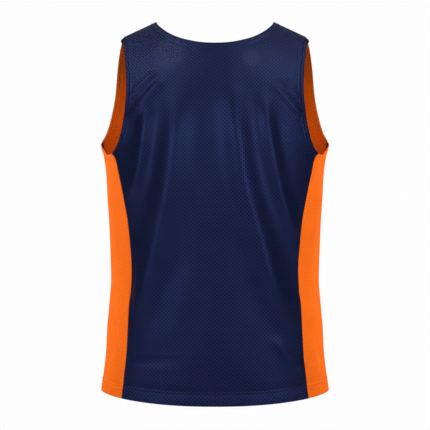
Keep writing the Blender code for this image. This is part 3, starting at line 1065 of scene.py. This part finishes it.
@dataclass
class GarmentPiece:
    """One cut shape in both layers, from its grid of middle points."""

    name: str
    points: Array
    normals: Array
    cloth: Array
    lines: Lines
    outward: float
    wall: ClothWall = field(default_factory=ClothWall)
    has_neck: bool = True
    turned_band: float = 0.0062
    hem_band: float = HEM_LINE
    hem_bias: float = 0.012         # the hem's band holds even this much further off
    topstitch: Topstitch = field(default_factory=Topstitch)

    def __post_init__(self) -> None:
        """Measure the distances to the edges once, for both layers."""
        self.edges = self.lines.distances(self.points)

    def rows_of_stitches(self, shown: Array, out: Array) -> list[tuple[Array, Array]]:
        """Lines of the topstitching along the neck, the armholes and the hem.

        Args:
            shown: points of the face that shows.
            out: directions out of that face.

        Returns:
            Points and outward directions of each row.
        """
        turned, hem, _ = self.edges
        both = np.concatenate((shown, out), axis=-1)
        found = [self.topstitch.inset(both, hem, self.hem_band)]
        down, from_top = both[::-1], turned[::-1]
        if self.has_neck:
            mid = int(np.argmax(turned[:, 0] < ON_EDGE))
            neck = np.flatnonzero(from_top[0] < ON_EDGE)[1:-1]
            found.append(self.topstitch.inset(down[:, neck], from_top[:, neck], self.turned_band))
            armholes = ((both[mid:], turned[mid:]), (both[mid:, ::-1], turned[mid:, ::-1]))
            for grid, away in armholes:
                sideways = grid.transpose(1, 0, 2), away.T
                found.append(self.topstitch.inset(*sideways, self.turned_band))
        else:
            found.append(self.topstitch.inset(down, from_top, self.turned_band))
        return [(row[:, :3], row[:, 3:]) for row in found]

    def build(self, layer: Layer, ending: str, material: bpy.types.Material,
              thread: bpy.types.Material, slot: str, rests_on: Sequence[str]) -> bpy.types.Object:
        """Wall of one layer and its stitching.

        Args:
            layer: which of the two layers.
            ending: ending of the names, for a left or right piece.
            material: cloth of the layer.
            thread: thread that shows on this layer.
            slot: the record's material slot; not used.
            rests_on: names of the pieces that it lies on; not used.

        Returns:
            The finished piece.
        """
        turned, hem, sewn = self.edges
        free = np.minimum(turned, hem)
        nearer_hem = hem < turned + self.hem_bias
        band = np.where(nearer_hem, hem - (self.hem_band - self.turned_band), turned)
        height = self.wall.face_height(free, sewn, band, self.turned_band)[..., None]
        shown = self.points + layer.value * self.normals * height
        hidden = self.points + layer.value * self.normals * self.wall.near_face
        outward = self.outward * layer.value
        node = f"{self.name}_{layer.name.lower()}{ending}"
        mesh = mesh_of_wall(node, shown, hidden, self.cloth, outward)
        piece = add_piece(f"{node}_cloth", mesh, material)
        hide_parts(node)
        rows = self.rows_of_stitches(shown, layer.value * self.normals)
        sewing = self.topstitch.mesh(f"{node}_stitches", rows)
        stitches = add_piece(f"{node}_stitches", sewing, thread)
        LOG.info("%s: %d faces", stitches.name, len(sewing.polygons))
        return piece


# ---------------------------------------------------------------------------- finishes
class Graph:
    """A material's nodes, with short ways to add and join them."""

    def __init__(self, name: str) -> None:
        """Start a material with its shader and output alone.

        Args:
            name: name of the material.
        """
        self.material = bpy.data.materials.new(name)
        self.material.use_nodes = True
        self.tree = self.material.node_tree
        self.shader = self.tree.nodes["Principled BSDF"]

    def add(self, kind: str, inputs: dict[int | str, object] | None = None,
            **settings: object) -> bpy.types.Node:
        """Add a node.

        Args:
            kind: type of the node.
            inputs: values, or sockets to join, by input name or number.
            settings: properties of the node.

        Returns:
            The new node.
        """
        node = self.tree.nodes.new(kind)
        for key, value in settings.items():
            setattr(node, key, value)
        for key, value in (inputs or {}).items():
            self.give(node.inputs[key], value)
        return node

    def give(self, socket: bpy.types.NodeSocket, value: object) -> None:
        """Set an input.

        Args:
            socket: the input.
            value: its value, or the other node's output that it is joined to.
        """
        if isinstance(value, bpy.types.NodeSocket):
            self.tree.links.new(value, socket)
        else:
            socket.default_value = value

    def maths(self, operation: str, first: object, second: object = 0.0) -> bpy.types.NodeSocket:
        """Result of one sum."""
        return self.add("ShaderNodeMath", {0: first, 1: second}, operation=operation).outputs[0]

    def vector(self, operation: str, first: object,
               second: object = (0.0, 0.0, 0.0)) -> bpy.types.NodeSocket:
        """Result of one vector sum."""
        node = self.add("ShaderNodeVectorMath", {0: first, 1: second}, operation=operation)
        return node.outputs["Value" if operation == "LENGTH" else "Vector"]

    def fade(self, value: object, start: float, end: float,
             low: float = 0.0, high: float = 1.0) -> bpy.types.NodeSocket:
        """A value carried smoothly from one range to another."""
        ranges = {0: value, 1: start, 2: end, 3: low, 4: high}
        return self.add("ShaderNodeMapRange", ranges, interpolation_type="SMOOTHSTEP").outputs[0]

    def mix(self, share: object, first: object, second: object) -> bpy.types.NodeSocket:
        """Two colours mixed, with the share of the second."""
        colours = {"Factor": share, 6: first, 7: second}
        return self.add("ShaderNodeMix", colours, data_type="RGBA").outputs[2]


@dataclass(frozen=True)
class MeshKnit:
    """Knitted sports mesh with staggered rows of small holes."""

    name: str
    colour: Colour
    hole_shade_colour: Colour             # painted shade in a hole, where the holes of the two layers meet
    shaded_through_colour: Colour          # the layer behind, with painted shade, where they don't
    sheen: Colour
    pitch: float = 0.00728          # from hole to hole along a row
    hole_radius: float = 0.00150
    hole_softness: float = 0.00040
    gloss: float = 1.0
    gloss_tint: Colour = (0.20, 0.30, 1.0, 1.0)
    roughness: float = 0.43
    sheen_weight: float = 0.02
    sheen_roughness: float = 0.45
    relief: float = 0.8             # strength of all the relief
    hole_depth: float = 0.00035
    yarn_pitch: float = 0.0011
    yarn_depth: float = 0.00006
    loops: float = 0.6              # loops up a yarn for each yarn across
    yarn_evenness: float = 1.6      # greater makes a yarn's loops show less
    drift_scale: float = 14.0       # how often the two layers' holes meet and part
    drift_range: tuple[float, float] = (0.38, 0.56)
    cloud_scale: float = 11.0       # how often the dye's tone changes
    cloud_range: tuple[float, float] = (0.3, 0.7)
    cloud_tone: tuple[float, float] = (0.94, 1.06)
    patches: tuple[tuple[float, float, float], ...] = ()    # x, z and radius of each patch of painted light
    painted_light_colour: Colour = (0.120, 0.120, 0.150, 1.0)       # painted light that comes through the holes there
    patch_core: float = 0.55        # share of a patch's radius before it fades
    open_radius: float = 0.00095    # the part of a hole that the light comes through
    open_core: float = 0.6          # share of that radius before it fades
    painted_shoulder_shade: float = 1.0     # painted shade: share of the colour left at the shoulders
    painted_shade_heights: tuple[float, float] = (-0.21, -0.06)     # heights where that painted shade starts and ends

    def lattice(self, graph: Graph, place: bpy.types.NodeSocket, shift: float) -> bpy.types.NodeSocket:
        """Distance to the nearest hole of a square lattice, in pitches."""
        inside = graph.vector("FRACTION", graph.vector("ADD", place, (shift, shift, 0.0)))
        return graph.vector("LENGTH", graph.vector("SUBTRACT", inside, (0.5, 0.5, 0.0)))

    def make(self) -> bpy.types.Material:
        """Material of the cloth.

        Two square lattices, the second set half a pitch over and up, give the holes.

        Returns:
            The material, which reads the UV map and the place on the garment.
        """
        graph = Graph(self.name)
        uv = graph.add("ShaderNodeUVMap", uv_map="cloth").outputs[0]
        spot = graph.add("ShaderNodeTexCoord").outputs["Object"]
        place = graph.vector("SCALE", uv)
        place.node.inputs["Scale"].default_value = 1.0 / self.pitch
        flat = graph.vector("MULTIPLY", place, (1.0, 1.0, 0.0))
        lattices = self.lattice(graph, flat, 0.0), self.lattice(graph, flat, 0.5)
        nearest = graph.maths("MINIMUM", *lattices)
        inner = (self.hole_radius - self.hole_softness / 2.0) / self.pitch
        outer = (self.hole_radius + self.hole_softness / 2.0) / self.pitch
        hole = graph.fade(nearest, inner, outer, 1.0, 0.0)
        # the holes take painted shade, and painted light in the patches
        base = graph.mix(hole, self.colour, self.tone_of_holes(graph, uv, spot, nearest))
        cloudy = {"Vector": uv, "Scale": self.cloud_scale, "Detail": 3.0}
        cloud = graph.add("ShaderNodeTexNoise", cloudy).outputs["Fac"]
        tone = graph.fade(cloud, *self.cloud_range, *self.cloud_tone)
        # painted shade: the colour darkens towards the shoulders, by height on the garment
        if self.painted_shoulder_shade < 1.0:
            height = graph.add("ShaderNodeSeparateXYZ", {0: spot}).outputs[2]
            depth = graph.fade(height, *self.painted_shade_heights, 1.0, self.painted_shoulder_shade)
            tone = graph.maths("MULTIPLY", tone, depth)
        shade = graph.add("ShaderNodeHueSaturation", {"Value": tone, "Color": base})
        graph.give(graph.shader.inputs["Base Color"], shade.outputs[0])
        self.surface(graph, uv, hole)
        return graph.material

    def tone_of_holes(self, graph: Graph, uv: bpy.types.NodeSocket, spot: bpy.types.NodeSocket,
                      nearest: bpy.types.NodeSocket) -> bpy.types.NodeSocket:
        """Colour seen in the holes: two tones of painted shade that drift, and painted light in the
        patches.

        Args:
            graph: the material's nodes.
            uv: cloth coordinates.
            spot: place on the garment.
            nearest: distance to the nearest hole, in pitches.

        Returns:
            The colour.
        """
        drifting = {"Vector": uv, "Scale": self.drift_scale, "Detail": 1.0}
        drift = graph.add("ShaderNodeTexNoise", drifting).outputs["Fac"]
        meeting = graph.fade(drift, *self.drift_range)
        tone = graph.mix(meeting, self.shaded_through_colour, self.hole_shade_colour)
        opening = self.open_radius / self.pitch
        for x, z, radius in self.patches:
            away = graph.vector("SUBTRACT", spot, (x, 0.0, z))
            level = graph.vector("LENGTH", graph.vector("MULTIPLY", away, (1.0, 0.0, 1.0)))
            near = graph.fade(level, radius * self.patch_core, radius, 1.0, 0.0)
            middle = graph.fade(nearest, opening * self.open_core, opening, 1.0, 0.0)
            tone = graph.mix(graph.maths("MULTIPLY", near, middle), tone, self.painted_light_colour)
        return tone

    def surface(self, graph: Graph, uv: bpy.types.NodeSocket, hole: bpy.types.NodeSocket) -> None:
        """Gloss, sheen and relief of the knit: sunk holes between fine upright yarns.

        Args:
            graph: the material's nodes.
            uv: cloth coordinates.
            hole: 1 inside a hole, 0 outside.
        """
        yarn_place = graph.add("ShaderNodeMapping", {"Vector": uv})
        size = math.pi * 2.0 / self.yarn_pitch
        yarn_place.inputs["Scale"].default_value = (size, size * self.loops, 1.0)
        parts = graph.add("ShaderNodeSeparateXYZ", {0: yarn_place.outputs[0]})
        across = graph.maths("SINE", parts.outputs[0])
        along = graph.maths("SINE", parts.outputs[1])
        yarn = graph.maths("MULTIPLY", across, graph.maths("ADD", along, self.yarn_evenness))
        raised = graph.maths("MULTIPLY", yarn, self.yarn_depth / (1.0 + self.yarn_evenness))
        sunk = graph.maths("MULTIPLY", hole, -self.hole_depth)
        height = graph.maths("ADD", raised, sunk)
        relief = {"Height": height, "Distance": 1.0, "Strength": self.relief}
        bump = graph.add("ShaderNodeBump", relief)
        shader = graph.shader
        graph.give(shader.inputs["Normal"], bump.outputs[0])
        matt = graph.maths("MULTIPLY", hole, 1.0 - self.roughness)
        graph.give(shader.inputs["Roughness"], graph.maths("ADD", matt, self.roughness))
        shader.inputs["Specular IOR Level"].default_value = self.gloss
        shader.inputs["Specular Tint"].default_value = self.gloss_tint
        shader.inputs["Sheen Weight"].default_value = self.sheen_weight
        shader.inputs["Sheen Roughness"].default_value = self.sheen_roughness
        shader.inputs["Sheen Tint"].default_value = self.sheen


@dataclass(frozen=True)
class TwistedThread:
    """Glossy polyester sewing thread with a slanting twist."""

    name: str
    colour: Colour
    twist: float = 0.0006           # length of one turn of the twist
    painted_ply_shade: float = 0.62         # painted shade: share of the colour left between the plies
    ply_height: float = 0.00004
    relief: float = 0.7
    roughness: float = 0.38
    sheen_weight: float = 0.05

    def make(self) -> bpy.types.Material:
        """Material of the thread.

        Returns:
            The material: stripes that slant round the thread, with painted shade between the plies.
        """
        graph = Graph(self.name)
        uv = graph.add("ShaderNodeUVMap", uv_map="cloth").outputs[0]
        parts = graph.add("ShaderNodeSeparateXYZ", {0: uv})
        slanted = graph.maths("ADD", parts.outputs[0], parts.outputs[1])
        ply = graph.maths("SINE", graph.maths("MULTIPLY", slanted, 2.0 * math.pi / self.twist))
        # painted shade between the plies
        shade = graph.fade(ply, -1.0, 1.0, self.painted_ply_shade, 1.0)
        tone = graph.add("ShaderNodeHueSaturation", {"Value": shade, "Color": self.colour})
        graph.give(graph.shader.inputs["Base Color"], tone.outputs[0])
        raised = graph.maths("MULTIPLY", ply, self.ply_height)
        relief = {"Height": raised, "Distance": 1.0, "Strength": self.relief}
        bump = graph.add("ShaderNodeBump", relief)
        graph.give(graph.shader.inputs["Normal"], bump.outputs[0])
        graph.shader.inputs["Roughness"].default_value = self.roughness
        graph.shader.inputs["Sheen Weight"].default_value = self.sheen_weight
        return graph.material


# ---------------------------------------------------------------------------- stage
class SoftBox(NamedTuple):
    """A large soft light: where it stands, where it faces, its size and its power."""

    name: str
    place: tuple[float, float, float]
    aim: tuple[float, float, float]
    width: float
    height: float
    power: float
    spread: float = 180.0   # angle over which it throws its light, in degrees
    shines: bool = True     # whether it is seen as a gloss
    paired: bool = False    # whether its mirror image stands on the left


SOFT_BOXES = (
    SoftBox("key", (1.02, -1.42, -0.07), (0.0, -0.12, -0.24), 0.6, 0.9, 2.4, spread=90.0, paired=True),
    SoftBox("over", (0.0, 0.50, 1.10), (0.0, -0.05, -0.05), 1.4, 0.7, 3.2),
    SoftBox("front", (0.0, -2.45, -0.05), (0.0, 0.0, -0.25), 0.9, 0.5, 1.4),
    SoftBox("fill", (0.0, -2.60, -0.35), (0.0, 0.0, -0.35), 1.5, 1.5, 12.0, shines=False),
    SoftBox("top", (0.0, -0.95, 1.05), (0.0, -0.10, -0.10), 3.2, 0.8, 4.8),
    SoftBox("high", (1.50, -0.70, 1.60), (0.0, -0.10, -0.10), 0.9, 0.9, 12.0, paired=True),
    SoftBox("side", (1.7, 1.00, -0.10), (0.1, 0.0, -0.40), 1.2, 1.2, 35.0, shines=False, paired=True),
)


@dataclass(frozen=True)
class Studio:
    """Pale floor, soft lights and the camera."""

    distance: float = 2.2
    view_height: float = -0.369
    view_width: float = 0.8256
    sensor: float = 36.0
    far_limit: float = 60.0         # nothing further off than this is seen
    floor_height: float = -1.45
    floor_rings: tuple[float, ...] = (0.0, 0.6, 1.4, 2.4, 3.3)
    floor_sides: int = 96
    floor_colour: Colour = (0.86, 0.86, 0.85, 1.0)
    floor_roughness: float = 0.9
    floor_glow: float = 0.5         # keeps the far floor pale to the camera alone
    soft_level: float = 0.12        # strength of the surrounding light on the garment
    seen_level: float = 0.985       # and as the camera sees it

    def build(self) -> None:
        """Put up the floor, the lights, the surrounding light and the camera."""
        self.floor()
        self.surroundings()
        for box in SOFT_BOXES:
            if box.paired:
                self.soft_box(box, f"left_{box.name}", -1.0)
                self.soft_box(box, f"right_{box.name}", 1.0)
            else:
                self.soft_box(box, box.name, 1.0)
        self.camera()

    def floor(self) -> None:
        """A plain pale disc below the garment, as rings of points."""
        turns = np.linspace(0.0, 2.0 * math.pi, self.floor_sides + 1)[:-1]
        radii = np.array(self.floor_rings)
        grid = np.stack((np.outer(radii, np.cos(turns)), np.outer(radii, np.sin(turns)),
                         np.full((len(radii), len(turns)), self.floor_height)), axis=-1)
        index = np.arange(grid.size // 3).reshape(grid.shape[:2])
        beside = np.roll(index, -1, axis=1)
        quads = np.stack((index[:-1], index[1:], beside[1:], beside[:-1]), axis=-1).reshape(-1, 4)
        mesh = bpy.data.meshes.new("floor")
        mesh.from_pydata(grid.reshape(-1, 3).tolist(), [], quads.tolist())
        mesh.shade_smooth()
        graph = Graph("pale_floor")
        graph.shader.inputs["Base Color"].default_value = self.floor_colour
        graph.shader.inputs["Roughness"].default_value = self.floor_roughness
        graph.shader.inputs["Emission Color"].default_value = WHITE
        seen = graph.add("ShaderNodeLightPath").outputs["Is Camera Ray"]
        glow = graph.maths("MULTIPLY", seen, self.floor_glow)
        graph.give(graph.shader.inputs["Emission Strength"], glow)
        mesh.materials.append(graph.material)
        floor = bpy.data.objects.new("floor", mesh)
        bpy.context.scene.collection.objects.link(floor)

    def surroundings(self) -> None:
        """Even white all round, which lights the garment more softly than it shows."""
        world = bpy.data.worlds.new("studio")
        bpy.context.scene.world = world
        world.use_nodes = True
        tree = world.node_tree
        back = tree.nodes["Background"]
        back.inputs["Color"].default_value = WHITE
        path = tree.nodes.new("ShaderNodeLightPath")
        level = tree.nodes.new("ShaderNodeMapRange")
        level.inputs[3].default_value = self.soft_level
        level.inputs[4].default_value = self.seen_level
        tree.links.new(path.outputs["Is Camera Ray"], level.inputs[0])
        tree.links.new(level.outputs[0], back.inputs["Strength"])
        world.cycles_visibility.glossy = False

    def soft_box(self, box: SoftBox, name: str, mirror: float) -> None:
        """Put up one large light, turned to the place that it lights.

        Args:
            box: the light.
            name: name of its object.
            mirror: -1.0 to stand it on the left, 1.0 where it is.
        """
        place = Vector((mirror * box.place[0], *box.place[1:]))
        aim = Vector((mirror * box.aim[0], *box.aim[1:]))
        light = bpy.data.lights.new(name, "AREA")
        light.shape = "RECTANGLE"
        light.size = box.width
        light.size_y = box.height
        light.energy = box.power
        light.spread = math.radians(box.spread)
        lamp = bpy.data.objects.new(name, light)
        lamp.location = place
        lamp.rotation_mode = "QUATERNION"
        lamp.rotation_quaternion = (aim - place).to_track_quat("-Z", "Y")
        lamp.visible_glossy = box.shines
        bpy.context.scene.collection.objects.link(lamp)

    def camera(self) -> None:
        """Level camera behind the wearer, as far off as the photograph's perspective."""
        data = bpy.data.cameras.new("camera")
        data.sensor_width = self.sensor
        data.lens = self.sensor * self.distance / self.view_width
        data.clip_end = self.far_limit
        camera = bpy.data.objects.new("camera", data)
        camera.location = (0.0, -self.distance, self.view_height)
        camera.rotation_euler = (math.pi / 2.0, 0.0, 0.0)
        bpy.context.scene.collection.objects.link(camera)
        bpy.context.scene.camera = camera
        bpy.context.scene.view_settings.view_transform = "Standard"


# ---------------------------------------------------------------------------- garment
@dataclass(frozen=True)
class Cloths:
    """The finishes of the cloth and the thread."""

    navy: bpy.types.Material
    orange: bpy.types.Material
    # the inside orange, a copy of the orange with painted shade
    orange_inside: bpy.types.Material
    navy_thread: bpy.types.Material
    orange_thread: bpy.types.Material

    @classmethod
    def dyed(cls) -> "Cloths":
        """Make the finishes.

        Returns:
            The finishes.  The orange that lies inside is a copy of the orange with painted shade:
            its holes are darker, and the painted shade deepens towards the shoulders.
        """
        # the colours of the holes are painted shade seen through them
        navy = MeshKnit("navy_mesh_knit", colour=(0.0018, 0.0034, 0.0165, 1.0),
                        hole_shade_colour=(0.0001, 0.0002, 0.0006, 1.0),
                        shaded_through_colour=(0.0040, 0.0020, 0.0050, 1.0),
                        sheen=(0.15, 0.22, 0.90, 1.0),
                        # patches of painted light that comes through the holes
                        patches=((-0.085, -0.071, 0.036), (0.067, -0.080, 0.020)))
        orange = MeshKnit("orange_mesh_knit", colour=(0.95, 0.158, 0.011, 1.0),
                          hole_shade_colour=(0.76, 0.098, 0.004, 1.0),
                          shaded_through_colour=(0.80, 0.112, 0.005, 1.0),
                          sheen=(1.0, 0.40, 0.10, 1.0), hole_radius=0.0011, gloss=0.05,
                          gloss_tint=(1.0, 0.45, 0.12, 1.0), sheen_weight=0.0)
        # painted shade: the inside orange is a shaded copy, darker in its holes and towards the
        # shoulders
        inside = replace(orange, name="orange_mesh_knit_inside", colour=(0.90, 0.172, 0.010, 1.0),
                         hole_shade_colour=(0.62, 0.075, 0.003, 1.0),
                         shaded_through_colour=(0.68, 0.090, 0.004, 1.0), painted_shoulder_shade=0.45)
        return cls(navy.make(), orange.make(), inside.make(),
                   TwistedThread("navy_thread", (0.0070, 0.0120, 0.0520, 1.0)).make(),
                   TwistedThread("orange_thread", (0.95, 0.200, 0.020, 1.0)).make())


@dataclass(frozen=True)
class Pinnie:
    """The whole garment: two panels and two side pieces, each in two layers."""

    back: Panel
    front: Panel
    sides: SideForm = field(default_factory=SideForm)

    def panel_piece(self, panel: Panel) -> GarmentPiece:
        """Lay the back or the front out on its grid.

        Args:
            panel: the back or the front.

        Returns:
            The cut piece, with half of the gap at the side seams taken off each edge.
        """
        across, upwards = panel.columns(), panel.rows()
        u, r = np.meshgrid(across, upwards)
        trim = panel.seam_gap / 2.0 / panel.half_girth
        u = np.where((np.abs(u) > 1.0 - SLACK) & (r <= 0.0), u * (1.0 - trim), u)
        points = panel.surface(u, r)
        normals = normals_of(panel.surface, u, r, (-1.0, 1.0), (-1.0, 1.0))
        normals = normals * -panel.side.value
        neck = panel.body.share_of_neck()
        mid = int(np.argmin(np.abs(upwards)))
        in_neck = np.abs(across) <= neck + SLACK
        turned = (points[-1, in_neck], points[mid:, 0], points[mid:, -1])
        shoulders = (points[-1, across <= -neck + SLACK], points[-1, across >= neck - SLACK])
        sewn = (points[:mid + 1, 0], points[:mid + 1, -1], *shoulders)
        lines = Lines(turned=turned, hem=(points[0],), sewn=sewn)
        cloth = ClothMeasure(panel.body, panel.side).lay(points)
        name = panel.side.name.lower()
        return GarmentPiece(name, points, normals, cloth, lines, -panel.side.value)

    def side_pieces(self) -> list[tuple[str, GarmentPiece]]:
        """Lay the right side piece out on its grid, and its mirror image on the left.

        Returns:
            The ending of each one's names, and the cut piece.
        """
        form = self.sides
        f, r = np.meshgrid(form.columns(), form.rows())
        points = form.surface(f, r)
        normals = normals_of(form.surface, f, r, (0.0, 1.0), (-1.0, 0.0))
        run = np.linalg.norm(np.diff(points, axis=1), axis=-1)
        across = np.cumsum(np.pad(run, ((0, 0), (1, 0))), axis=1)
        across = across - across[:, -1:] / 2.0
        cloth = np.stack((across, points[..., 2]), axis=-1)
        made = []
        for ending, mirror in (("_right", 1.0), ("_left", -1.0)):
            turn = np.array((mirror, 1.0, 1.0))
            here = points * turn
            lines = Lines(turned=(here[-1],), hem=(here[0],), sewn=(here[:, 0], here[:, -1]))
            piece = GarmentPiece("side", here, normals * turn, cloth, lines, mirror, has_neck=False)
            made.append((ending, piece))
        return made

    def build(self, cloths: Cloths) -> None:
        """Build every cut piece in both layers.

        Args:
            cloths: the finishes.
        """
        for panel in (self.back, self.front):
            piece = self.panel_piece(panel)
            inner = piece.build(Layer.INNER, "", cloths.orange_inside, cloths.navy_thread,
                                "orange_knit_inside", [])
            piece.build(Layer.OUTER, "", cloths.navy, cloths.navy_thread, "navy_knit", [inner.name])
        for ending, piece in self.side_pieces():
            inner = piece.build(Layer.INNER, ending, cloths.navy, cloths.navy_thread,
                                "navy_knit_inside", [])
            piece.build(Layer.OUTER, ending, cloths.orange, cloths.orange_thread,
                        "orange_knit", [inner.name])


def main() -> None:
    """Build the garment and the studio."""
    logging.basicConfig(level=logging.INFO, format="%(message)s")
    back = Panel(Side.BACK, neck_drop=0.051, neck_roundness=0.82, folds=BACK_FOLDS)
    front = Panel(Side.FRONT, neck_drop=0.122, neck_roundness=0.62, folds=FRONT_FOLDS)
    Pinnie(back, front).build(Cloths.dyed())
    Studio().build()


if __name__ == "__main__":
    main()
